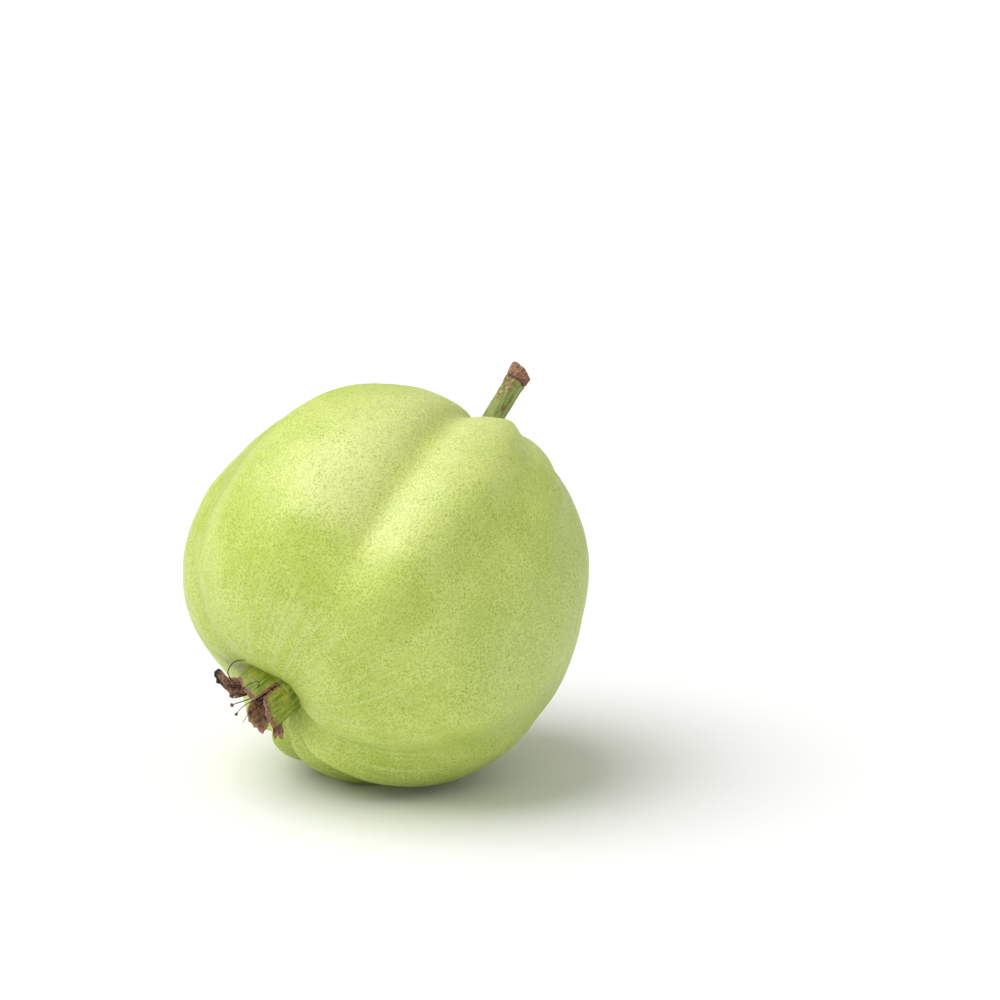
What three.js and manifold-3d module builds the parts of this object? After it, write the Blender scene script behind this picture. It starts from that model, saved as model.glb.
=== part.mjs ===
// A guava as picked, lying on its side on a small flat spot, with its cut stalk and its dried flower end.
// Millimetres, +Z up. The origin is the centre of the flat spot that it rests on.
import * as THREE from "three";
import { mergeVertices } from "three/addons/utils/BufferGeometryUtils.js";
import Module from "manifold-3d";

const wasm = await Module();
wasm.setup();

// How the fruit lies: its long axis runs from the flower end to the stalk end.
const FRUIT_CENTRE = [-4.4, -1.5, 44.2];
const AXIS_HEADING = 42;
const AXIS_RISE = 39;
const TURN_ABOUT_AXIS = 40;

// The fruit's body, before its ribs.
const BODY_RADIUS = 44;
const STALK_HALF_LENGTH = 45.5;
const FLOWER_HALF_LENGTH = 38;
const STALK_END_FULLNESS = 2.1;
const FLOWER_END_FULLNESS = 2.2;
const STALK_END_LEAN = [-8, -1.5];
const FLOWER_END_LEAN = [1, -3.8];
const STALK_DIMPLE = { depth: 4.5, radius: 8 };
const FLOWER_DIMPLE = { depth: 4.8, radius: 12.5 };
const RIBS_FADE_WITHIN = 14;
const SEGMENTS_AROUND = 76;
const SEGMENTS_ALONG = 42;

// The broad ribs and the furrows between them: the angle round the axis, how far the rib drifts round
// towards the stalk, its width before and after that angle, its height at the stalk end, the middle and
// the flower end, and how far along it takes its end height.
const RIBS = [
  { at: 4, drift: 1, before: 12, after: 10, stalk: 2.8, middle: 3.4, flower: -0.6, reach: 0.9 },
  { at: -13, drift: -8, before: 8, after: 7, stalk: -2.4, middle: -2.2, flower: 0, reach: 0.8 },
  { at: -34, drift: 0, before: 15, after: 12, stalk: -0.4, middle: 1.8, flower: 0.6, reach: 0.9 },
  { at: -58, drift: -4, before: 14, after: 14, stalk: -0.4, middle: 0.8, flower: 0.4, reach: 1 },
  { at: -80, drift: -4, before: 13, after: 13, stalk: -1, middle: -2.4, flower: -0.8, reach: 1 },
  { at: -100, drift: -36, before: 6, after: 5, stalk: 0, middle: 0.3, flower: 0.4, reach: 1 },
  { at: -122, drift: 0, before: 14, after: 14, stalk: 0.4, middle: 0.2, flower: -0.4, reach: 1 },
  { at: -148, drift: 0, before: 18, after: 18, stalk: 0.6, middle: 1.1, flower: -0.8, reach: 1 },
  { at: 180, drift: 0, before: 12, after: 12, stalk: 0.6, middle: 0.6, flower: 4, reach: 1 },
  { at: 154, drift: 0, before: 11, after: 11, stalk: 0.6, middle: 1.4, flower: 5.4, reach: 1 },
  { at: 126, drift: 0, before: 13, after: 13, stalk: 1.6, middle: 2.4, flower: 5.6, reach: 1 },
  { at: 96, drift: 0, before: 14, after: 14, stalk: 1.2, middle: 1.4, flower: 5.6, reach: 1 },
  { at: 76, drift: 0, before: 8, after: 8, stalk: -0.6, middle: -0.3, flower: -1, reach: 1 },
  { at: 56, drift: 0, before: 16, after: 16, stalk: 2.8, middle: 2.6, flower: 1.8, reach: 1 },
  { at: 30, drift: 0, before: 16, after: 12, stalk: 3.3, middle: -0.4, flower: 0.2, reach: 1 },
];

// The stalk, from its root in the dimple to the broken corky tip.
const STALK_ROOT = [-8.3, -2.5, 37.5];
const STALK_LENGTH = 26.1;
const STALK_RADIUS = 2.3;
const STALK_TIP_RADIUS = 2.7;
const STALK_TILT = 4;
const STALK_SWAY = 0.8;
const STALK_SIDES = 16;

// The green crown of sepals at the flower end and the dried ones inside it.
const CROWN_SEAT = [1.6, -4.4, -33.2];
const CROWN_AXIS = [0.02, -0.23, -0.97];
const CROWN_RADIUS = 6.8;
const CROWN_WALL = 1.6;
const CROWN_FLOOR = -2.2;
const CROWN_HEIGHT = 2.4;
const CROWN_SIDES = 32;
const CROWN_SEAT_FLARE = 2;
const CROWN_SEAT_HEIGHT = 9;
const PLUG_RADIUS = 4.2;
const PLUG_HEIGHT = 3.4;
const PLUG_SIDES = 24;

// The green sepals round the crown: the angle each stands at and how wide it is there in degrees, its
// height, its radius at the root and the tip, its thickness, and how it bulges, slants and waves.
const GREEN_SEPALS = [
  {
    at: 46, span: 98, low: 0, high: 8.2, radius: 6, tipRadius: 6.2,
    thick: 1.8, bulge: 0.5, slant: -1.6, taper: 0.08,
  },
  {
    at: -42, span: 74, low: 0, high: 8.2, radius: 6, tipRadius: 6.8,
    thick: 1.8, bulge: 0.3, slant: -0.5, taper: 0.02,
  },
  {
    at: 172, span: 108, low: 0, high: 3.6, radius: 6, tipRadius: 6.7,
    thick: 1.4, wave: 0.2,
  },
];

// The dried sepals, which start from the plug inside the crown; hook bends a tip out and back.
const DRY_SEPALS = [
  {
    at: 122, span: 62, low: 2.8, high: 10.4, radius: 3.5, tipRadius: 9.6,
    thick: 1, wave: 0.3, taper: 0.35, hook: 2.4,
  },
  {
    at: 215, span: 110, low: 2.6, high: 9.2, radius: 3.5, tipRadius: 5.2,
    thick: 1, curl: 0.8, wave: 0.35, slant: 0.8,
  },
  {
    at: 254, span: 50, low: 2.8, high: 7.2, radius: 3.5, tipRadius: 9,
    thick: 1.2, wave: 0.5,
  },
];

// How every sepal thins towards its tip and edges, drops at its corners and bends back at a hooked tip.
const SEPAL_TIP_THINS = 0.35;
const SEPAL_EDGE_THINS = 0.3;
const SEPAL_CORNER_DROP = 0.14;
const HOOK_FROM = 0.7;
const HOOK_OUT = 0.8;
const HOOK_BACK = 0.7;
const HOOK_NARROWS = 0.12;
const SEPAL_SEGMENTS_ACROSS = 8;
const SEPAL_SEGMENTS_UP = 6;

// Touching pieces keep this much room.
const GAP = 0.3;

const radians = THREE.MathUtils.degToRad;

// An ease from 0 to 1 with level ends.
function ease(x) {
  const t = THREE.MathUtils.clamp(x, 0, 1);
  return t * t * (3 - 2 * t);
}

// A bell of height 1 that falls off either side of 0.
function bell(x) {
  return Math.exp(-x * x);
}

// The degrees between two angles, from -180 to 180.
function turnBetween(a, b) {
  return ((((a - b + 180) % 360) + 360) % 360) - 180;
}

// How far the ribs stand out of the body at an angle round it; along is -1 at the flower end, 1 at the stalk.
function ribHeight(degrees, along) {
  let height = 0;
  for (const rib of RIBS) {
    const towardsStalk = (rib.stalk - rib.middle) * ease(along);
    const towardsFlower = (rib.flower - rib.middle) * ease(-along / rib.reach);
    const turn = turnBetween(degrees, rib.at + rib.drift * along);
    const width = turn < 0 ? rib.before : rib.after;
    height += (rib.middle + towardsStalk + towardsFlower) * bell(turn / width);
  }
  return height;
}

// A point of the fruit's skin: polar is 0 at the flower end and pi at the stalk, azimuth runs round the axis.
function skinPoint(polar, azimuth) {
  const c = Math.cos(polar);
  const s = Math.sin(polar);
  const flowerHalf = c > 0;
  const fullness = flowerHalf ? FLOWER_END_FULLNESS : STALK_END_FULLNESS;
  const half = flowerHalf ? FLOWER_HALF_LENGTH : STALK_HALF_LENGTH;
  const dimple = flowerHalf ? FLOWER_DIMPLE : STALK_DIMPLE;
  const lean = flowerHalf ? FLOWER_END_LEAN : STALK_END_LEAN;
  const spread = (Math.abs(c) ** fullness + Math.abs(s) ** fullness) ** (-1 / fullness);
  let radius = BODY_RADIUS * s * spread;
  let height = -half * c * spread;
  height -= Math.sign(height) * dimple.depth * bell(radius / dimple.radius);
  const rib = ribHeight(THREE.MathUtils.radToDeg(azimuth), height / half) * ease(radius / RIBS_FADE_WITHIN);
  const reach = Math.hypot(radius, height);
  radius += (rib * radius) / reach;
  height += (rib * height) / reach;
  const bend = (height / half) ** 2;
  return new THREE.Vector3(
    radius * Math.cos(azimuth) + lean[0] * bend,
    radius * Math.sin(azimuth) + lean[1] * bend,
    height,
  );
}

// The position of every vertex of a geometry, moved by a function that returns the new point.
function moveVertices(geometry, move) {
  const position = geometry.getAttribute("position");
  for (let i = 0; i < position.count; i += 1) {
    const moved = move(new THREE.Vector3().fromBufferAttribute(position, i));
    position.setXYZ(i, moved.x, moved.y, moved.z);
  }
  return geometry;
}

// A closed geometry as a solid that can be joined and cut.
function solid(geometry) {
  const bare = geometry.clone();
  bare.deleteAttribute("normal");
  bare.deleteAttribute("uv");
  const merged = mergeVertices(bare, 1e-4);
  const mesh = new wasm.Mesh({
    numProp: 3,
    vertProperties: new Float32Array(merged.getAttribute("position").array),
    triVerts: new Uint32Array(merged.index.array),
  });
  return new wasm.Manifold(mesh);
}

// A solid back as a geometry with face normals.
function geometryOf(body) {
  const mesh = body.getMesh();
  const geometry = new THREE.BufferGeometry();
  geometry.setAttribute("position", new THREE.BufferAttribute(new Float32Array(mesh.vertProperties), 3));
  geometry.setIndex(new THREE.BufferAttribute(new Uint32Array(mesh.triVerts), 1));
  const faceted = geometry.toNonIndexed();
  faceted.computeVertexNormals();
  return faceted;
}

// The fruit's body: a sphere's grid moved onto the skin.
function fruitBody() {
  const grid = new THREE.SphereGeometry(1, SEGMENTS_AROUND, SEGMENTS_ALONG);
  return moveVertices(grid, (v) => {
    const polar = Math.acos(THREE.MathUtils.clamp(-v.y, -1, 1));
    return skinPoint(polar, Math.atan2(v.x, v.z));
  });
}

// The stalk's profile along +Z, as radius and height; grown makes it wider all round.
function stalkProfile(grown) {
  const L = STALK_LENGTH;
  const r = STALK_RADIUS + grown;
  const tip = STALK_TIP_RADIUS + grown;
  return [
    [0, -grown],
    [r + 0.5, -grown],
    [r + 0.3, 4],
    [r, 9],
    [r, L - 5],
    [r + 0.25, L - 3.4],
    [r - 0.05, L - 3],
    [r + 0.25, L - 2.4],
    [tip, L - 0.3],
    [tip - 0.5, L],
    [tip - 1.1, L - 0.4],
    [0.7, L - 1.4],
    [0, L - 1.5],
  ].map(([x, y]) => new THREE.Vector2(x, y));
}

// The stalk, turned on a lathe and then swayed to one side.
function stalkBody(grown = 0) {
  const turned = new THREE.LatheGeometry(stalkProfile(grown), STALK_SIDES).rotateX(Math.PI / 2);
  return moveVertices(turned, (v) => {
    const along = v.z / STALK_LENGTH;
    v.y -= STALK_SWAY * along * along;
    return v;
  });
}

// One sepal on the crown's ring: a slab of boxes bent round the crown, from its root up to its tip.
function sepal({
  at, span, low, high, radius, tipRadius, thick,
  curl = 0, wave = 0, taper = 0.25, slant = 0, bulge = 0, hook = 0,
}) {
  const grid = new THREE.BoxGeometry(2, 1, 1, SEPAL_SEGMENTS_ACROSS, SEPAL_SEGMENTS_UP, 1);
  return moveVertices(grid, (v) => {
    const u = v.x;
    const t = v.y + 0.5;
    const tip = ease((t - HOOK_FROM) / (1 - HOOK_FROM));
    const narrowing = (1 - taper * t * t) * (1 - HOOK_NARROWS * hook * tip);
    const angle = radians(at + (u * span * narrowing) / 2);
    const crumple = wave * t * Math.sin(5 * u + 2 * t + at);
    const wall = thick * (1 - SEPAL_TIP_THINS * t) * (1 - SEPAL_EDGE_THINS * u * u);
    const rounded = 1 - SEPAL_CORNER_DROP * u * u * t;
    let r = radius + (tipRadius - radius) * t + curl * t ** 3 + 4 * bulge * t * (1 - t);
    r += crumple + v.z * wall + HOOK_OUT * hook * tip;
    const z = low + (high - low) * t * rounded + slant * u * t + crumple / 2 - HOOK_BACK * hook * tip;
    return new THREE.Vector3(r * Math.cos(angle), r * Math.sin(angle), z);
  });
}

// The crown's short cup, open towards +Z; grown makes it wider all round for its seat in the fruit.
function crownCup(grown = 0) {
  const r = CROWN_RADIUS + grown;
  const inner = CROWN_RADIUS - CROWN_WALL;
  const points = [
    [0, CROWN_FLOOR - grown],
    [r - 0.6, CROWN_FLOOR - grown],
    [r, CROWN_FLOOR + 1 - grown],
    [r + 0.5, CROWN_HEIGHT - 0.8],
    [r, CROWN_HEIGHT],
    [inner, CROWN_HEIGHT],
    [inner, 0],
    [0, 0],
  ];
  const profile = points.map(([x, y]) => new THREE.Vector2(x, y));
  return new THREE.LatheGeometry(profile, CROWN_SIDES).rotateX(Math.PI / 2);
}

// The block that fills the crown's seat in the fruit.
function crownSeatBlock() {
  const radius = CROWN_RADIUS + GAP;
  const wide = radius + CROWN_SEAT_FLARE;
  const block = new THREE.CylinderGeometry(wide, radius, CROWN_SEAT_HEIGHT, CROWN_SIDES);
  return block.rotateX(Math.PI / 2).translate(0, 0, CROWN_FLOOR - GAP + CROWN_SEAT_HEIGHT / 2);
}

// The green crown: the cup and its fleshy sepals, joined.
function greenCrown() {
  let crown = solid(crownCup());
  for (const shape of GREEN_SEPALS) {
    crown = crown.add(solid(sepal(shape)));
  }
  return crown;
}

// The dried sepals and the plug they grow from, joined.
function dryCrown() {
  const plug = new THREE.CylinderGeometry(PLUG_RADIUS - 0.6, PLUG_RADIUS, PLUG_HEIGHT - GAP, PLUG_SIDES);
  plug.rotateX(Math.PI / 2).translate(0, 0, (PLUG_HEIGHT + GAP) / 2);
  let crown = solid(plug);
  for (const shape of DRY_SEPALS) {
    crown = crown.add(solid(sepal(shape)));
  }
  return crown;
}

// The group in which the fruit's own axis is +Z, laid down as the fruit lies.
function lyingFrame() {
  const heading = radians(AXIS_HEADING);
  const rise = radians(AXIS_RISE);
  const turn = radians(TURN_ABOUT_AXIS);
  const axis = new THREE.Vector3(
    Math.cos(rise) * Math.cos(heading),
    Math.cos(rise) * Math.sin(heading),
    Math.sin(rise),
  );
  const side = new THREE.Vector3(Math.sin(heading), -Math.cos(heading), 0);
  const top = new THREE.Vector3().crossVectors(side, axis);
  const front = side.clone().multiplyScalar(Math.cos(turn)).addScaledVector(top, Math.sin(turn));
  const below = new THREE.Vector3().crossVectors(axis, front);
  const frame = new THREE.Group();
  frame.quaternion.setFromRotationMatrix(new THREE.Matrix4().makeBasis(front, below, axis));
  frame.position.set(...FRUIT_CENTRE);
  frame.updateMatrix();
  return frame;
}

// The group in which the stalk stands along +Z.
function stalkFrame() {
  const frame = new THREE.Group();
  frame.position.set(...STALK_ROOT);
  frame.rotation.x = radians(STALK_TILT);
  frame.updateMatrix();
  return frame;
}

// The group in which the crown stands along +Z, with +X on the side nearest to the fruit's front.
function crownFrame() {
  const axis = new THREE.Vector3(...CROWN_AXIS).normalize();
  const front = new THREE.Vector3(1, 0, 0).addScaledVector(axis, -axis.x).normalize();
  const side = new THREE.Vector3().crossVectors(axis, front);
  const frame = new THREE.Group();
  frame.quaternion.setFromRotationMatrix(new THREE.Matrix4().makeBasis(front, side, axis));
  frame.position.set(...CROWN_SEAT);
  frame.updateMatrix();
  return frame;
}

// The half space below the surface that the fruit lies on, in the fruit's own frame.
function belowTheSurface(lying) {
  const size = 200;
  const block = new THREE.BoxGeometry(size, size, size).translate(0, 0, -size / 2);
  return block.applyMatrix4(lying.matrix.clone().invert());
}

function material(color, roughness) {
  return new THREE.MeshStandardMaterial({ color, roughness, metalness: 0, flatShading: true });
}

const lying = lyingFrame();
const stalkPlace = stalkFrame();
const crownPlace = crownFrame();

const stalkSolid = solid(stalkBody());
const crownSolid = greenCrown();
const drySolid = dryCrown();

const stalkRoom = stalkBody(GAP).applyMatrix4(stalkPlace.matrix);
const crownRoom = crownSeatBlock().applyMatrix4(crownPlace.matrix);
const fruitSolid = solid(fruitBody())
  .subtract(solid(belowTheSurface(lying)))
  .subtract(solid(stalkRoom))
  .subtract(solid(crownRoom));

const fruit = new THREE.Mesh(geometryOf(fruitSolid), material(0xcddd78, 0.45));
fruit.name = "fruit";

const stalk = new THREE.Mesh(geometryOf(stalkSolid), material(0x8c9a55, 0.75));
stalk.name = "stalk";

const calyx = new THREE.Mesh(geometryOf(crownSolid), material(0x8fa83c, 0.55));
calyx.name = "calyx";

const calyxDry = new THREE.Mesh(geometryOf(drySolid), material(0x6b4030, 0.9));
calyxDry.name = "calyx_dry";

stalkPlace.add(stalk);
crownPlace.add(calyx, calyxDry);
lying.add(fruit, stalkPlace, crownPlace);

const guava = new THREE.Group();
guava.add(lying);

export default guava;
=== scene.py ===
# A guava with its cut stalk and dried flower end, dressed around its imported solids.
import math
import bpy
import numpy as np
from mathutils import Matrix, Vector, noise


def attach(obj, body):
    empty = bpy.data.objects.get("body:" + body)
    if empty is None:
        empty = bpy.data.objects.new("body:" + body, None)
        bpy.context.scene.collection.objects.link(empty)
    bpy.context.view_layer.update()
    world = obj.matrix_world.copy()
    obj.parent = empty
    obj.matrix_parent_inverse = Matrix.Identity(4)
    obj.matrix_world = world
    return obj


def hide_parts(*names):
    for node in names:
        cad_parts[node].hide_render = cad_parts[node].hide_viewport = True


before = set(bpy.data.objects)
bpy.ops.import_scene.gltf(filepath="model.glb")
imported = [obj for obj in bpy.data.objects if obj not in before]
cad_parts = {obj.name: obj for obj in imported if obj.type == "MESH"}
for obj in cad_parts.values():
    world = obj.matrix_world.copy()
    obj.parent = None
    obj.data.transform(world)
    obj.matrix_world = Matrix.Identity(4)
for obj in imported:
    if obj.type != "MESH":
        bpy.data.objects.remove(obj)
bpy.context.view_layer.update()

# Lengths in this file are millimetres until a mesh is made.
METRES = 0.001

# How the fruit lies: its long axis runs from the flower end to the stalk end.
FRUIT_CENTRE = (-4.4, -1.5, 44.2)
AXIS_HEADING = 42
AXIS_RISE = 39
TURN_ABOUT_AXIS = 40

# The fruit's body, before its ribs.
BODY_RADIUS = 44
STALK_HALF_LENGTH = 45.5
FLOWER_HALF_LENGTH = 38
STALK_END_FULLNESS = 2.1
FLOWER_END_FULLNESS = 2.2
STALK_END_LEAN = (-8, -1.5)
FLOWER_END_LEAN = (1, -3.8)
STALK_DIMPLE_DEPTH = 4.5
STALK_DIMPLE_RADIUS = 8
FLOWER_DIMPLE_DEPTH = 4.8
FLOWER_DIMPLE_RADIUS = 12.5
RIBS_FADE_WITHIN = 14
SKIN_ROWS = 220
SKIN_COLUMNS = 400
STREAKS_AROUND = 34
STREAKS_ALONG = 2.4

# The ribs and furrows. Each has the angle it runs at, its drift towards the stalk, its width on either side,
# its height at the stalk end, the middle and the flower end, and how far along it takes its end height.
RIBS = (
    (4, 1, 12, 10, 2.8, 3.4, -0.6, 0.9),
    (-13, -8, 8, 7, -2.4, -2.2, 0.0, 0.8),
    (-34, 0, 15, 12, -0.4, 1.8, 0.6, 0.9),
    (-58, -4, 14, 14, -0.4, 0.8, 0.4, 1.0),
    (-80, -4, 13, 13, -1.0, -2.4, -0.8, 1.0),
    (-100, -36, 6, 5, 0.0, 0.3, 0.4, 1.0),
    (-122, 0, 14, 14, 0.4, 0.2, -0.4, 1.0),
    (-148, 0, 18, 18, 0.6, 1.1, -0.8, 1.0),
    (180, 0, 12, 12, 0.6, 0.6, 4.0, 1.0),
    (154, 0, 11, 11, 0.6, 1.4, 5.4, 1.0),
    (126, 0, 13, 13, 1.6, 2.4, 5.6, 1.0),
    (96, 0, 14, 14, 1.2, 1.4, 5.6, 1.0),
    (76, 0, 8, 8, -0.6, -0.3, -1.0, 1.0),
    (56, 0, 16, 16, 2.8, 2.6, 1.8, 1.0),
    (30, 0, 16, 12, 3.3, -0.4, 0.2, 1.0),
)

# The stalk.
STALK_ROOT = (-8.3, -2.5, 37.5)
STALK_LENGTH = 26.1
STALK_RADIUS = 2.3
STALK_TIP_RADIUS = 2.7
STALK_TILT = 4
STALK_SWAY = 0.8
STALK_CUT = (0.05, -0.28)
STALK_STAIN_AT = -60
STALK_SPOT = (20, 15.2)

# The crown of sepals at the flower end.
CROWN_SEAT = (1.6, -4.4, -33.2)
CROWN_AXIS = (0.02, -0.23, -0.97)
CROWN_RADIUS = 6.8
CROWN_WALL = 1.6
CROWN_FLOOR = -2.2
CROWN_HEIGHT = 2.4
PLUG_RADIUS = 4.2
PLUG_HEIGHT = 3.4

# The green sepals round the crown, and the dried ones that start from the plug inside it.
GREEN_SEPALS = (
    dict(at=46, span=98, low=0, high=8.2, radius=6.0, tip_radius=6.2,
         thick=1.8, bulge=0.5, slant=-1.6, taper=0.08),
    dict(at=-42, span=74, low=0, high=8.2, radius=6.0, tip_radius=6.8,
         thick=1.8, bulge=0.3, slant=-0.5, taper=0.02),
    dict(at=172, span=108, low=0, high=3.6, radius=6.0, tip_radius=6.7,
         thick=1.4, wave=0.2),
)
DRY_SEPALS = (
    dict(at=122, span=62, low=2.8, high=10.4, radius=3.5, tip_radius=9.6,
         thick=1.0, wave=0.3, taper=0.35, hook=2.4),
    dict(at=215, span=110, low=2.6, high=9.2, radius=3.5, tip_radius=5.2,
         thick=1.0, curl=0.8, wave=0.35, slant=0.8),
    dict(at=254, span=50, low=2.8, high=7.2, radius=3.5, tip_radius=9.0,
         thick=1.2, wave=0.5),
)

# How every sepal thins towards its tip and edges, drops at its corners, bends back at a hooked tip and frays.
SEPAL_TIP_THINS = 0.35
SEPAL_EDGE_THINS = 0.3
SEPAL_CORNER_DROP = 0.14
HOOK_FROM = 0.7
HOOK_OUT = 0.8
HOOK_BACK = 0.7
HOOK_NARROWS = 0.12
# The dried filaments left of the flower, along points of the crown's frame.
THREAD_SIDE = (0.3, 0.2, 0.93)
FILAMENTS = (
    dict(route=((1, 3, 3), (2, 5, 8), (3.6, 8.4, 8.6), (5.2, 9.4, 6.4), (5.6, 8.2, 4.2)), thick=0.32),
    dict(route=((0.5, 2, 3), (2.4, 5, 9), (4.4, 6.6, 10.6), (5.6, 5.2, 9.6)), thick=0.5),
    dict(route=((2, 1.5, 3), (4.2, 3, 8.6), (6.6, 3.6, 8.2), (7.6, 2.6, 5.6), (7.2, 1.6, 6.6)), thick=0.26),
    dict(route=((0, 1.5, 3), (2.2, 3.2, 9.2), (4.6, 4.4, 9.4)), thick=0.3, knob=0.45),
    dict(route=((-1, 1, 3), (1, 3.4, 10), (3.2, 4.2, 11)), thick=0.3, knob=0.5),
    dict(route=((-1, 0, 3), (0.4, 2.2, 10), (1.6, 2.6, 12)), thick=0.28, knob=0.42),
    dict(route=((-2, 0, 3), (-0.6, 1, 9), (0.8, 0.4, 12.4)), thick=0.22, knob=0.3),
    dict(route=((-2, -1, 3), (-1, -1, 9), (0.4, -1.8, 12)), thick=0.2),
)

FINE_CRUMPLE = 0.12
RAGGED_RIM = 0.5

# The skin's colours, linear red, green and blue.
SKIN_DEEP = (0.42, 0.54, 0.06)
SKIN_LIGHT = (0.56, 0.66, 0.14)
# Painted shade for the furrows between the ribs.
SKIN_FURROW_SHADE = (0.38, 0.45, 0.05)
# Painted light for the brightly lit panel left of the front rib.
SKIN_PAINTED_LIGHT = (0.74, 0.79, 0.33)
# Painted sheen for the pale right side and a thin painted highlight along one rib edge.
SKIN_PAINTED_SHEEN = (0.50, 0.62, 0.20)
SKIN_STREAK = (0.68, 0.77, 0.34)
SKIN_NET = (0.72, 0.83, 0.22)
SKIN_PORE = (0.30, 0.38, 0.02)
# Painted shade for the skin low down, near the floor.
SKIN_UNDERSIDE_SHADE = (0.15, 0.22, 0.02)
SKIN_FLECK = (0.42, 0.30, 0.03)
SKIN_SPECK = (0.16, 0.09, 0.02)

# The photograph's framing: where the fruit's centre lands, and the real size of a pixel there.
PIXEL = 0.2212
IMAGE_SIZE = 1000
FRUIT_CENTRE_PIXEL = (382.5, 584.5)
CAMERA_RISE = 15
CAMERA_DISTANCE = 1100
SENSOR = 36


def ease(x):
    t = np.clip(x, 0, 1)
    return t * t * (3 - 2 * t)


def bell(x):
    return np.exp(-np.square(x))


def turn_between(a, b):
    return (a - b + 180) % 360 - 180


def unit(v):
    v = np.array(v, float)
    return v / np.linalg.norm(v)


def rib_height(degrees, along):
    height = np.zeros_like(degrees)
    for at, drift, before, after, stalk, middle, flower, reach in RIBS:
        level = middle + (stalk - middle) * ease(along) + (flower - middle) * ease(-along / reach)
        turn = turn_between(degrees, at + drift * along)
        height += level * bell(turn / np.where(turn < 0, before, after))
    return height


def skin_points(polar, azimuth):
    """Points of the skin in the fruit's frame, with the rib height and the place along the fruit at each."""
    c = np.cos(polar)
    s = np.sin(polar)
    flower = c > 0
    fullness = np.where(flower, FLOWER_END_FULLNESS, STALK_END_FULLNESS)
    half = np.where(flower, FLOWER_HALF_LENGTH, STALK_HALF_LENGTH)
    depth = np.where(flower, FLOWER_DIMPLE_DEPTH, STALK_DIMPLE_DEPTH)
    wide = np.where(flower, FLOWER_DIMPLE_RADIUS, STALK_DIMPLE_RADIUS)
    lean_x = np.where(flower, FLOWER_END_LEAN[0], STALK_END_LEAN[0])
    lean_y = np.where(flower, FLOWER_END_LEAN[1], STALK_END_LEAN[1])
    spread = (np.abs(c) ** fullness + np.abs(s) ** fullness) ** (-1 / fullness)
    radius = BODY_RADIUS * s * spread
    height = -half * c * spread
    height -= np.sign(height) * depth * bell(radius / wide)
    along = height / half
    rib = rib_height(np.degrees(azimuth), along) * ease(radius / RIBS_FADE_WITHIN)
    reach = np.hypot(radius, height)
    radius = radius + rib * radius / reach
    height = height + rib * height / reach
    bend = np.square(height / half)
    x = radius * np.cos(azimuth) + lean_x * bend
    y = radius * np.sin(azimuth) + lean_y * bend
    return np.stack([x, y, height], -1), rib, along


def lying_axes():
    """The fruit's own X, Y and Z directions as it lies."""
    heading = math.radians(AXIS_HEADING)
    rise = math.radians(AXIS_RISE)
    turn = math.radians(TURN_ABOUT_AXIS)
    axis = np.array([math.cos(rise) * math.cos(heading), math.cos(rise) * math.sin(heading), math.sin(rise)])
    side = np.array([math.sin(heading), -math.cos(heading), 0])
    top = np.cross(side, axis)
    front = side * math.cos(turn) + top * math.sin(turn)
    return np.stack([front, np.cross(axis, front), axis])


def crown_axes():
    """The crown's own X, Y and Z directions in the fruit's frame."""
    axis = unit(CROWN_AXIS)
    front = unit(np.array([1, 0, 0]) - axis * axis[0])
    return np.stack([front, np.cross(axis, front), axis])


def laid(points):
    """Points of the fruit's frame as they lie on the surface."""
    return points @ lying_axes() + np.array(FRUIT_CENTRE)


def from_crown(points):
    return laid(points @ crown_axes() + np.array(CROWN_SEAT))


def from_stalk(points):
    tilt = math.radians(STALK_TILT)
    x, y, z = points[..., 0], points[..., 1], points[..., 2]
    turned = np.stack([x, y * math.cos(tilt) - z * math.sin(tilt), y * math.sin(tilt) + z * math.cos(tilt)], -1)
    return laid(turned + np.array(STALK_ROOT))


def rough(points, size, seed=0.0):
    """Smooth noise from -1 to 1 at each point, with bumps of about that size."""
    flat = points.reshape(-1, 3) / size + seed
    values = np.array([noise.noise(Vector(p)) for p in flat])
    return values.reshape(points.shape[:-1])


def round_faces(rows, columns):
    """Quads of a grid of rings, closed round each ring."""
    r, c = np.meshgrid(np.arange(rows - 1), np.arange(columns), indexing="ij")
    a = r * columns + c
    b = r * columns + (c + 1) % columns
    return np.stack([a, b, b + columns, a + columns], -1).reshape(-1, 4).tolist()


def capped_rings(rings):
    """Vertices and faces of a stack of rings whose two ends close on their middle points."""
    rows, columns = rings.shape[:2]
    ends = np.stack([rings[0].mean(0), rings[-1].mean(0)])
    vertices = np.concatenate([rings.reshape(-1, 3), ends])
    faces = round_faces(rows, columns)
    first = rows * columns
    last = first + 1
    for c in range(columns):
        d = (c + 1) % columns
        faces.append([first, d, c])
        faces.append([last, (rows - 1) * columns + c, (rows - 1) * columns + d])
    return vertices, faces


def with_ends(values):
    """Grids of numbers or vectors as lists that end with the two middle points' own."""
    lists = {}
    for key, grid in values.items():
        flat = grid.reshape(-1, *grid.shape[2:])
        lists[key] = np.concatenate([flat, grid[0].mean(0)[None], grid[-1].mean(0)[None]])
    return lists


def thick_sheet_faces(across, up):
    """Faces of a front and a back grid of points joined along their four edges."""
    faces = []
    back = across * up
    for j in range(up - 1):
        for i in range(across - 1):
            a = j * across + i
            faces.append([a, a + 1, a + across + 1, a + across])
            faces.append([back + a, back + a + across, back + a + across + 1, back + a + 1])
    rim = [i for i in range(across)]
    rim += [j * across + across - 1 for j in range(1, up)]
    rim += [(up - 1) * across + i for i in range(across - 2, -1, -1)]
    rim += [j * across for j in range(up - 2, 0, -1)]
    for k, a in enumerate(rim):
        b = rim[(k + 1) % len(rim)]
        faces.append([b, a, back + a, back + b])
    return faces


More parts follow.
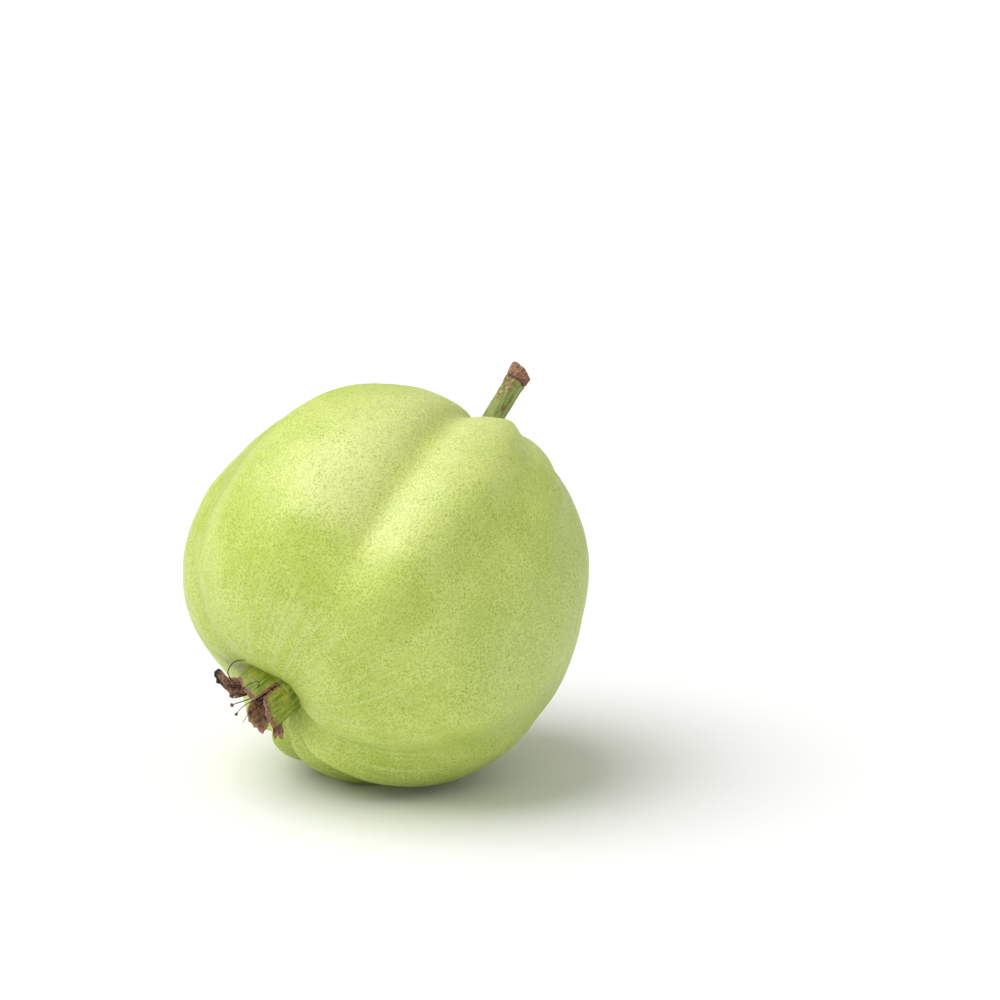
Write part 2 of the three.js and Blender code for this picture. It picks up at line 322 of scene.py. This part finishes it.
def make_piece(name, vertices, faces, material, values=None):
    """A smooth mesh object from points in millimetres; values are named numbers or vectors, one for each point."""
    mesh = bpy.data.meshes.new(name)
    mesh.from_pydata((np.asarray(vertices) * METRES).tolist(), [], faces)
    for key, numbers in (values or {}).items():
        numbers = np.asarray(numbers, np.float32)
        kind, field = ("FLOAT", "value") if numbers.ndim == 1 else ("FLOAT_VECTOR", "vector")
        attribute = mesh.attributes.new(key, kind, "POINT")
        attribute.data.foreach_set(field, numbers.ravel())
    mesh.materials.append(material)
    mesh.shade_smooth()
    piece = bpy.data.objects.new(name, mesh)
    bpy.context.scene.collection.objects.link(piece)
    return piece


class Nodes:
    """Short calls for building a material's nodes."""

    def __init__(self, name):
        self.material = bpy.data.materials.new(name)
        self.material.use_nodes = True
        self.tree = self.material.node_tree
        self.shader = self.tree.nodes["Principled BSDF"]
        self.place = self.add("ShaderNodeTexCoord").outputs["Object"]

    def add(self, kind, **settings):
        node = self.tree.nodes.new(kind)
        for key, value in settings.items():
            setattr(node, key, value)
        return node

    def link(self, source, target):
        if isinstance(source, bpy.types.NodeSocket):
            self.tree.links.new(source, target)
        else:
            target.default_value = source

    def set(self, **values):
        for key, value in values.items():
            self.link(value, self.shader.inputs[key.replace("_", " ")])

    def value(self, name):
        return self.add("ShaderNodeAttribute", attribute_name=name).outputs["Fac"]

    def noise(self, size, detail=3.0, roughness=0.55):
        """Noise over the surface with patches of about that many millimetres."""
        return self.noise_at(self.place, 1 / (size * METRES), detail, roughness)

    def streaks(self, name, detail=3.0, roughness=0.6):
        """Noise read at a named vector attribute, which stretches it into streaks."""
        source = self.add("ShaderNodeAttribute", attribute_name=name).outputs["Vector"]
        return self.noise_at(source, 1.0, detail, roughness)

    def noise_at(self, source, scale, detail, roughness):
        node = self.add("ShaderNodeTexNoise")
        node.inputs["Scale"].default_value = scale
        node.inputs["Detail"].default_value = detail
        node.inputs["Roughness"].default_value = roughness
        self.link(source, node.inputs["Vector"])
        return node.outputs["Fac"]

    def cells(self, size, feature="F1"):
        node = self.add("ShaderNodeTexVoronoi", feature=feature)
        node.inputs["Scale"].default_value = 1 / (size * METRES)
        self.link(self.place, node.inputs["Vector"])
        return node

    def ramp(self, source, low, high, out_low=0.0, out_high=1.0):
        node = self.add("ShaderNodeMapRange", interpolation_type="SMOOTHSTEP")
        self.link(source, node.inputs["Value"])
        for key, number in (("From Min", low), ("From Max", high), ("To Min", out_low), ("To Max", out_high)):
            node.inputs[key].default_value = number
        return node.outputs["Result"]

    def sum(self, a, b, kind="ADD"):
        node = self.add("ShaderNodeMath", operation=kind)
        self.link(a, node.inputs[0])
        self.link(b, node.inputs[1])
        return node.outputs["Value"]

    def mix(self, factor, a, b, kind="MIX"):
        node = self.add("ShaderNodeMix", data_type="RGBA", blend_type=kind)
        self.link(factor, node.inputs["Factor"])
        for colour, socket in ((a, node.inputs[6]), (b, node.inputs[7])):
            self.link(colour if isinstance(colour, bpy.types.NodeSocket) else (*colour, 1.0), socket)
        return node.outputs[2]

    def bump(self, height, distance, strength=1.0, under=None):
        node = self.add("ShaderNodeBump")
        node.inputs["Strength"].default_value = strength
        node.inputs["Distance"].default_value = distance * METRES
        self.link(height, node.inputs["Height"])
        if under is not None:
            self.link(under, node.inputs["Normal"])
        return node.outputs["Normal"]


def skin_material():
    """Pale yellow-green waxy skin: soft patches, a net of pale lines round olive pores, streaks, brown specks."""
    n = Nodes("guava skin")
    patches = n.ramp(n.noise(14, 3), 0.32, 0.68)
    colour = n.mix(patches, SKIN_DEEP, SKIN_LIGHT)
    # Painted shade: the skin is darkened in the furrows between the ribs.
    colour = n.mix(n.ramp(n.value("furrow_shade"), 0.0, 1.0, 0.0, 0.6), colour, SKIN_FURROW_SHADE)
    # Painted light: a paler panel where the key light falls left of the front rib.
    colour = n.mix(n.ramp(n.value("painted_light"), 0.0, 1.0, 0.0, 0.7), colour, SKIN_PAINTED_LIGHT)
    # Painted sheen and highlight: a pale greyish band on the right side and a thin line along a sharp rib edge.
    colour = n.mix(n.ramp(n.value("painted_sheen"), 0.0, 1.0, 0.0, 0.75), colour, SKIN_PAINTED_SHEEN)
    # Painted shade: the skin darkens towards the floor.
    colour = n.mix(n.ramp(n.value("underside_shade"), 0.0, 1.0, 0.0, 0.7), colour, SKIN_UNDERSIDE_SHADE)
    streak = n.ramp(n.streaks("flow"), 0.46, 0.66)
    streaked = n.sum(streak, n.ramp(n.value("streaked"), 0.0, 1.0, 0.03, 0.34), "MULTIPLY")
    colour = n.mix(streaked, colour, SKIN_STREAK)
    pores = n.cells(0.5)
    pore = n.ramp(pores.outputs["Distance"], 0.12, 0.62, 1.0, 0.0)
    dense = n.ramp(n.noise(3.2, 3), 0.35, 0.65, 0.30, 0.62)
    colour = n.mix(n.sum(n.ramp(pore, 0.0, 0.6, 0.55, 0.0), dense, "MULTIPLY"), colour, SKIN_NET)
    colour = n.mix(n.sum(pore, dense, "MULTIPLY"), colour, SKIN_PORE)
    flecks = n.cells(1.7)
    fleck = n.ramp(flecks.outputs["Distance"], 0.10, 0.24, 0.65, 0.0)
    fleck = n.sum(fleck, n.ramp(n.noise(5, 2), 0.45, 0.62), "MULTIPLY")
    colour = n.mix(fleck, colour, SKIN_FLECK)
    specks = n.cells(7.5)
    speck = n.ramp(specks.outputs["Distance"], 0.03, 0.05, 0.75, 0.0)
    colour = n.mix(n.sum(speck, n.value("specked"), "MULTIPLY"), colour, SKIN_SPECK)
    height = n.sum(n.noise(0.9, 4, 0.6), n.sum(pore, -0.5, "MULTIPLY"))
    height = n.sum(height, n.sum(streaked, 0.6, "MULTIPLY"))
    n.set(Base_Color=colour, Roughness=n.ramp(n.noise(2.5, 4), 0.3, 0.7, 0.40, 0.62))
    n.set(Normal=n.bump(height, 0.09, 0.8, n.bump(n.noise(5, 3), 0.5, 0.6)))
    n.set(Subsurface_Weight=0.2, Subsurface_Scale=0.002, Specular_IOR_Level=0.6)
    n.shader.inputs["Subsurface Radius"].default_value = (1.0, 1.2, 0.35)
    return n.material


def stalk_material():
    """Green and grained below, brown and corky at the tip, with stains, a spot, a crack under the cork and painted
    shade in the hollow of the broken tip.
    """
    n = Nodes("guava stalk")
    grain = n.streaks("flow", 4)
    colour = n.mix(n.ramp(grain, 0.35, 0.65), (0.16, 0.23, 0.03), (0.37, 0.42, 0.14))
    colour = n.mix(n.ramp(n.noise(1.6, 4, 0.6), 0.5, 0.72, 0.0, 0.5), colour, (0.30, 0.20, 0.06))
    stained = n.sum(n.ramp(n.noise(0.9, 4, 0.7), 0.42, 0.60), n.value("stain"), "MULTIPLY")
    colour = n.mix(n.ramp(stained, 0.1, 0.6, 0.0, 0.85), colour, (0.22, 0.09, 0.035))
    colour = n.mix(n.value("spot"), colour, (0.20, 0.03, 0.04))
    cork = n.mix(n.ramp(n.noise(0.55, 5, 0.7), 0.38, 0.62), (0.10, 0.035, 0.02), (0.44, 0.23, 0.12))
    colour = n.mix(n.ramp(n.value("cork"), 0.3, 0.7), colour, cork)
    colour = n.mix(n.value("ring"), colour, (0.02, 0.008, 0.006))
    colour = n.mix(n.value("lip"), colour, (0.62, 0.36, 0.30))
    # Painted shade: the hollow of the broken tip is made near-black.
    colour = n.mix(n.value("hollow_shade"), colour, (0.06, 0.008, 0.008))
    n.set(Base_Color=colour, Roughness=0.68)
    n.set(Normal=n.bump(n.noise(0.4, 4, 0.7), 0.18, 0.8, n.bump(grain, 0.12, 0.5)))
    return n.material


def green_sepal_material():
    """Fleshy green with lines along the sepal, yellower at the root, brown and dry at the rim, with painted shade
    on the inner faces.
    """
    n = Nodes("green sepal")
    lines = n.streaks("flow", 4)
    colour = n.mix(n.ramp(lines, 0.35, 0.65), (0.13, 0.20, 0.012), (0.36, 0.44, 0.05))
    colour = n.mix(n.ramp(n.noise(2.2, 3), 0.45, 0.7, 0.0, 0.7), colour, (0.46, 0.42, 0.06))
    colour = n.mix(n.ramp(n.noise(0.8, 4, 0.7), 0.56, 0.68, 0.0, 0.7), colour, (0.16, 0.07, 0.02))
    brown = n.mix(n.ramp(n.noise(0.35, 4, 0.7), 0.35, 0.62), (0.035, 0.010, 0.006), (0.40, 0.20, 0.10))
    dry = n.sum(n.value("rim"), n.ramp(n.noise(0.7, 4), 0.3, 0.7, -0.25, 0.25))
    colour = n.mix(n.ramp(dry, 0.45, 0.6), colour, brown)
    # Painted shade: the sepals' inner faces, towards the crown's middle, are made near-black.
    colour = n.mix(n.value("inner_face_shade"), colour, (0.03, 0.012, 0.008))
    n.set(Base_Color=colour, Roughness=0.42)
    n.set(Normal=n.bump(n.noise(0.4, 4, 0.6), 0.15, 0.7, n.bump(lines, 0.2, 0.7)))
    n.set(Subsurface_Weight=0.1, Subsurface_Scale=0.001)
    return n.material


def dry_sepal_material():
    """Papery red-brown, nearly black in the folds, olive in places and tan along the edges."""
    n = Nodes("dry sepal")
    colour = n.mix(n.ramp(n.noise(0.7, 5, 0.65), 0.36, 0.64), (0.035, 0.012, 0.008), (0.30, 0.13, 0.07))
    colour = n.mix(n.ramp(n.noise(2.0, 3), 0.5, 0.68, 0.0, 0.7), colour, (0.24, 0.18, 0.035))
    colour = n.mix(n.ramp(n.streaks("flow", 4), 0.55, 0.7, 0.0, 0.7), colour, (0.02, 0.008, 0.006))
    colour = n.mix(n.ramp(n.value("rim"), 0.5, 0.9, 0.0, 0.75), colour, (0.42, 0.22, 0.13))
    colour = n.mix(n.value("burnt"), colour, (0.012, 0.008, 0.008))
    n.set(Base_Color=colour, Roughness=0.8)
    n.set(Normal=n.bump(n.noise(0.3, 4, 0.7), 0.2, 0.9))
    return n.material


def filament_material():
    """Thin dried threads, nearly black with red-brown stretches."""
    n = Nodes("dry filament")
    colour = n.mix(n.ramp(n.noise(1.3, 3), 0.4, 0.65), (0.010, 0.006, 0.006), (0.17, 0.06, 0.03))
    n.set(Base_Color=colour, Roughness=0.6)
    n.set(Normal=n.bump(n.noise(0.3, 3), 0.08, 0.6))
    return n.material


def floor_material():
    n = Nodes("pale floor")
    n.set(Base_Color=(0.9, 0.9, 0.9, 1.0), Roughness=0.9)
    return n.material


def skin_piece():
    """The whole skin as one fine mesh, flattened where it rests."""
    polar = np.linspace(0, math.pi, SKIN_ROWS + 2)[1:-1, None]
    azimuth = np.linspace(-math.pi, math.pi, SKIN_COLUMNS, endpoint=False)[None, :]
    polar, azimuth = np.broadcast_arrays(polar, azimuth)
    points, rib, along = skin_points(polar, azimuth)
    degrees = np.degrees(azimuth)
    outward = points / np.linalg.norm(points, axis=-1, keepdims=True)
    swell = 0.30 * rough(points, 11, 3.1) + 0.10 * rough(points, 4.5, 7.7)
    away = np.hypot(points[..., 0], points[..., 1])
    calm = ease((away - 6) / 6)
    points = points + outward * (swell * calm)[..., None]
    # Where painted shade darkens the furrows between the ribs.
    furrow_shade = ease(-rib / 2.2) * calm
    # Painted sheen on the right side, and a narrow painted highlight along the rib edge near -98 degrees.
    painted_sheen = bell(turn_between(degrees, 62) / 34) * ease((along + 0.7) / 0.5)
    painted_sheen = np.maximum(painted_sheen, 0.8 * bell(turn_between(degrees, -98) / 5))
    # Painted light: a lit panel left of the front rib, weaker in the furrows.
    painted_light = bell(turn_between(degrees, -20) / 28) * ease((along + 0.45) / 0.4) * (1 - 0.5 * furrow_shade)
    streaked = np.maximum(ease((-along - 0.45) / 0.35), 0.6 * bell(turn_between(degrees, -84) / 26))
    specked = ease(0.3 - 0.9 * along)
    round_x = STREAKS_AROUND * np.cos(azimuth)
    round_y = STREAKS_AROUND * np.sin(azimuth)
    flow = np.stack([round_x, round_y, STREAKS_ALONG * along], -1)
    world = laid(points)
    world[..., 2] = np.maximum(world[..., 2], 0)
    # Painted shade within 14 mm of the floor.
    underside_shade = ease((14 - world[..., 2]) / 14)
    vertices, faces = capped_rings(world)
    values = dict(furrow_shade=furrow_shade, painted_sheen=painted_sheen, painted_light=painted_light, streaked=streaked, specked=specked, underside_shade=underside_shade,
                  flow=flow)
    return make_piece("fruit_skin", vertices, faces, skin_material(), with_ends(values))


def stalk_piece():
    """The stalk with its corky, broken tip."""
    L = STALK_LENGTH
    profile = (
        (STALK_RADIUS + 0.5, 0), (STALK_RADIUS + 0.3, 4), (STALK_RADIUS, 9), (STALK_RADIUS, L - 5),
        (STALK_RADIUS + 0.25, L - 3.4), (STALK_RADIUS - 0.05, L - 3), (STALK_RADIUS + 0.25, L - 2.4),
        (STALK_TIP_RADIUS, L - 0.3), (STALK_TIP_RADIUS - 0.4, L), (STALK_TIP_RADIUS - 0.9, L - 0.5),
        (0.7, L - 1.6), (0.05, L - 1.7),
    )
    steps = np.linspace(0, len(profile) - 1, 200)
    radius = np.interp(steps, range(len(profile)), [p[0] for p in profile])[:, None]
    height = np.interp(steps, range(len(profile)), [p[1] for p in profile])[:, None]
    angle = np.linspace(0, 2 * math.pi, 96, endpoint=False)[None, :]
    flute = 0.06 * np.cos(5 * angle) + 0.05 * np.cos(9 * angle + 1)
    x = (radius + flute * ease(radius)) * np.cos(angle)
    y = (radius + flute * ease(radius)) * np.sin(angle)
    z = height + 0 * angle
    points = np.stack([x, y, z], -1)
    cork = ease((z - (L - 4.2)) / 1.2)
    push = (0.06 + 0.12 * cork) * rough(points, 1.1, 2.0) + 0.05 * rough(points, 0.45, 5.0)
    step = steps[:, None] + 0 * angle
    values = dict(
        cork=cork,
        ring=0.9 * bell((z - (L - 3.05)) / 0.2),
        stain=bell(turn_between(np.degrees(angle), STALK_STAIN_AT) / 75) * ease((z - 14) / 6),
        spot=0.9 * ease(1.6 - np.hypot((z - STALK_SPOT[1]), radius * np.radians(turn_between(
            np.degrees(angle), STALK_SPOT[0]))) / 0.4),
        lip=0.8 * bell((step - 8.0) / 0.35),
        # Where painted shade fills the hollow of the broken tip.
        hollow_shade=ease(step - 8.2),
        flow=np.stack([3.2 * np.cos(angle) + 0 * z, 3.2 * np.sin(angle) + 0 * z, z / 6], -1),
    )
    points[..., :2] *= (1 + push / np.maximum(radius, 0.4))[..., None]
    points[..., 2] += 0.30 * cork * rough(points, 1.3, 9.0)
    points[..., 2] += ease((z - (L - 3)) / 2) * (STALK_CUT[0] * points[..., 0] + STALK_CUT[1] * points[..., 1])
    points[..., 1] -= STALK_SWAY * np.square(points[..., 2] / L)
    vertices, faces = capped_rings(from_stalk(points))
    return make_piece("stalk_fine", vertices, faces, stalk_material(), with_ends(values))


def sepal(at, span, low, high, radius, tip_radius, thick, curl=0, wave=0, taper=0.25, slant=0, bulge=0, hook=0):
    """One sepal as a thick crumpled sheet; returns its points, faces and named numbers."""
    across = 48
    up = 36
    u, t = np.meshgrid(np.linspace(-1, 1, across), np.linspace(0, 1, up))
    tip = ease((t - HOOK_FROM) / (1 - HOOK_FROM))
    layers = []
    edge = np.maximum(ease((t - 0.80) / 0.2), ease((np.abs(u) - 0.80) / 0.2) * ease(t / 0.35))
    flow = np.stack([u * span / 7, np.full_like(u, at), t * 1.2], -1)
    burnt = 0 * t if hook == 0 else ease((t - 0.84) / 0.12)
    values = dict(rim=[], inner_face_shade=[], burnt=[], flow=[])
    for depth in (0.5, -0.5):
        narrowing = (1 - taper * t * t) * (1 - HOOK_NARROWS * hook * tip)
        angle = np.radians(at + u * span * narrowing / 2)
        crumple = wave * t * np.sin(5 * u + 2 * t + at)
        wall = thick * (1 - SEPAL_TIP_THINS * t) * (1 - SEPAL_EDGE_THINS * u * u)
        r = radius + (tip_radius - radius) * t + curl * t ** 3 + 4 * bulge * t * (1 - t)
        r += crumple + depth * wall + HOOK_OUT * hook * tip
        rounded = 1 - SEPAL_CORNER_DROP * u * u * t
        z = low + (high - low) * t * rounded + slant * u * t + crumple / 2 - HOOK_BACK * hook * tip
        sheet = np.stack([r * np.cos(angle), r * np.sin(angle), z], -1)
        frame_point = np.stack([5 * u, 7 * t, np.full_like(u, at)], -1)
        r_push = FINE_CRUMPLE * (rough(frame_point, 0.8, 6.5) + 0.5 * rough(frame_point, 0.35, 8.5))
        sheet[..., 2] += RAGGED_RIM * ease((t - 0.55) / 0.45) * rough(frame_point, 1.0, 1.5)
        sheet[..., :2] *= (1 + r_push / np.maximum(r, 1))[..., None]
        layers.append(sheet.reshape(-1, 3))
        # Painted shade on the inner face, fading out towards the tip.
        inner_face_shade = ease(0.5 - depth) * ease((0.9 - t) / 0.3) + 0 * u
        for key, grid in (("rim", edge), ("inner_face_shade", inner_face_shade), ("burnt", burnt), ("flow", flow)):
            values[key].append(grid.reshape(-1, *grid.shape[2:]))
    values = {key: np.concatenate(grids) for key, grids in values.items()}
    return np.concatenate(layers), thick_sheet_faces(across, up), values


def turned(profile, steps, columns):
    """Points of a profile of radius and height turned round the Z axis."""
    angle = np.linspace(0, 2 * math.pi, columns, endpoint=False)
    places = np.linspace(0, len(profile) - 1, steps)
    radius = np.interp(places, range(len(profile)), [p[0] for p in profile])[:, None]
    height = np.interp(places, range(len(profile)), [p[1] for p in profile])[:, None]
    return np.stack([radius * np.cos(angle), radius * np.sin(angle), height + 0 * angle], -1)


def plain_values(points):
    """The named numbers of a turned piece, with streaks up its side."""
    x, y, z = points[:, 0], points[:, 1], points[:, 2]
    angle = np.arctan2(y, x)
    flow = np.stack([8 * np.cos(angle), 8 * np.sin(angle), z / 7], -1)
    nothing = np.zeros(len(points))
    return dict(rim=nothing, inner_face_shade=nothing, burnt=nothing, flow=flow)


def crown_cup():
    """The green cup that the sepals stand on."""
    inner = CROWN_RADIUS - CROWN_WALL
    profile = (
        (0.3, CROWN_FLOOR), (CROWN_RADIUS - 0.6, CROWN_FLOOR), (CROWN_RADIUS, CROWN_FLOOR + 1),
        (CROWN_RADIUS + 0.5, CROWN_HEIGHT - 0.8), (CROWN_RADIUS, CROWN_HEIGHT), (inner, CROWN_HEIGHT),
        (inner, 0), (0.3, 0),
    )
    vertices, faces = capped_rings(turned(profile, 60, 64))
    return vertices, faces, plain_values(vertices)


def plug():
    """The dried disc inside the crown that the dry sepals and filaments start from."""
    profile = ((0.3, 0.3), (PLUG_RADIUS, 0.3), (PLUG_RADIUS - 0.6, PLUG_HEIGHT), (0.3, PLUG_HEIGHT - 0.4))
    points = turned(profile, 40, 48)
    points[..., 2] += 0.3 * rough(points, 1.2, 3.3)
    vertices, faces = capped_rings(points)
    return vertices, faces, plain_values(vertices)


def thread(route, thick, knob=0.0):
    """A filament along a few points of the crown's frame, with a knob at its end if it still has its anther."""
    route = np.array(route, float)
    ends = np.concatenate([2 * route[:1] - route[1:2], route, 2 * route[-1:] - route[-2:-1]])
    pieces = []
    for k in range(len(route) - 1):
        a, b, c, d = ends[k:k + 4]
        t = np.linspace(0, 1, 10, endpoint=False)[:, None]
        pieces.append(0.5 * (2 * b + (c - a) * t + (2 * a - 5 * b + 4 * c - d) * t ** 2
                             + (3 * b - a - 3 * c + d) * t ** 3))
    path = np.concatenate(pieces + [route[-1:]])
    along = np.gradient(path, axis=0)
    along /= np.linalg.norm(along, axis=1, keepdims=True)
    side = np.cross(along, THREAD_SIDE)
    side /= np.linalg.norm(side, axis=1, keepdims=True)
    over = np.cross(along, side)
    angle = np.linspace(0, 2 * math.pi, 8, endpoint=False)[None, :, None]
    part = np.linspace(0, 1, len(path))
    radius = thick / 2 * (1 - 0.35 * part) + knob * bell((part - 0.96) / 0.05)
    rings = path[:, None] + radius[:, None, None] * (np.cos(angle) * side[:, None] + np.sin(angle) * over[:, None])
    vertices, faces = capped_rings(rings)
    return vertices, faces, plain_values(vertices)


def joined(parts):
    """Several lots of points, faces and named numbers as one."""
    vertices, faces, values = [], [], {}
    count = 0
    for points, quads, numbers in parts:
        vertices.append(points)
        faces.extend([[count + i for i in face] for face in quads])
        for key, column in numbers.items():
            values.setdefault(key, []).append(column)
        count += len(points)
    return np.concatenate(vertices), faces, {key: np.concatenate(columns) for key, columns in values.items()}


def crown_piece():
    vertices, faces, values = joined([crown_cup()] + [sepal(**shape) for shape in GREEN_SEPALS])
    return make_piece("crown_green", from_crown(vertices), faces, green_sepal_material(), values)


def dry_piece():
    vertices, faces, values = joined([plug()] + [sepal(**shape) for shape in DRY_SEPALS])
    return make_piece("crown_dry", from_crown(vertices), faces, dry_sepal_material(), values)


def filament_piece():
    vertices, faces, values = joined([thread(**shape) for shape in FILAMENTS])
    return make_piece("filaments", from_crown(vertices), faces, filament_material(), values)


def add_floor():
    bpy.ops.mesh.primitive_plane_add(size=8, location=(0, 0, 0))
    floor = bpy.context.object
    floor.name = "floor"
    floor.data.materials.append(floor_material())


def add_sun(name, source, strength, spread):
    """Light from a far wide source; source is the direction that it comes from."""
    data = bpy.data.lights.new(name, "SUN")
    data.energy = strength
    data.angle = math.radians(spread)
    lamp = bpy.data.objects.new(name, data)
    lamp.rotation_euler = Vector(source).to_track_quat("Z", "Y").to_euler()
    bpy.context.scene.collection.objects.link(lamp)


def add_lights():
    world = bpy.data.worlds.new("studio")
    world.use_nodes = True
    world.node_tree.nodes["Background"].inputs["Color"].default_value = (1, 1, 1, 1)
    world.node_tree.nodes["Background"].inputs["Strength"].default_value = 0.46
    bpy.context.scene.world = world
    add_sun("key", (-0.52, -0.08, 0.9), 2.6, 60)
    add_sun("fill", (0.5, -0.8, 0.5), 0.25, 70)


def add_camera():
    rise = math.radians(CAMERA_RISE)
    view = np.array([0, math.cos(rise), -math.sin(rise)])
    right = np.array([1, 0, 0])
    up = np.cross(right, view)
    off_right = (IMAGE_SIZE / 2 - FRUIT_CENTRE_PIXEL[0]) * PIXEL
    off_up = (FRUIT_CENTRE_PIXEL[1] - IMAGE_SIZE / 2) * PIXEL
    aim = np.array(FRUIT_CENTRE) + right * off_right + up * off_up
    data = bpy.data.cameras.new("camera")
    data.sensor_width = SENSOR
    data.lens = SENSOR * CAMERA_DISTANCE / (PIXEL * IMAGE_SIZE)
    camera = bpy.data.objects.new("camera", data)
    camera.location = Vector((aim - view * CAMERA_DISTANCE) * METRES)
    camera.rotation_euler = Vector(view).to_track_quat("-Z", "Y").to_euler()
    bpy.context.scene.collection.objects.link(camera)
    bpy.context.scene.camera = camera


def place(piece, node):
    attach(piece, "root")
    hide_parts(node)


bpy.context.scene.view_settings.view_transform = "Standard"
add_floor()
add_lights()
add_camera()
place(skin_piece(), "fruit")
place(stalk_piece(), "stalk")
place(crown_piece(), "calyx")
place(dry_piece(), "calyx_dry")
filaments = filament_piece()
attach(filaments, "root")
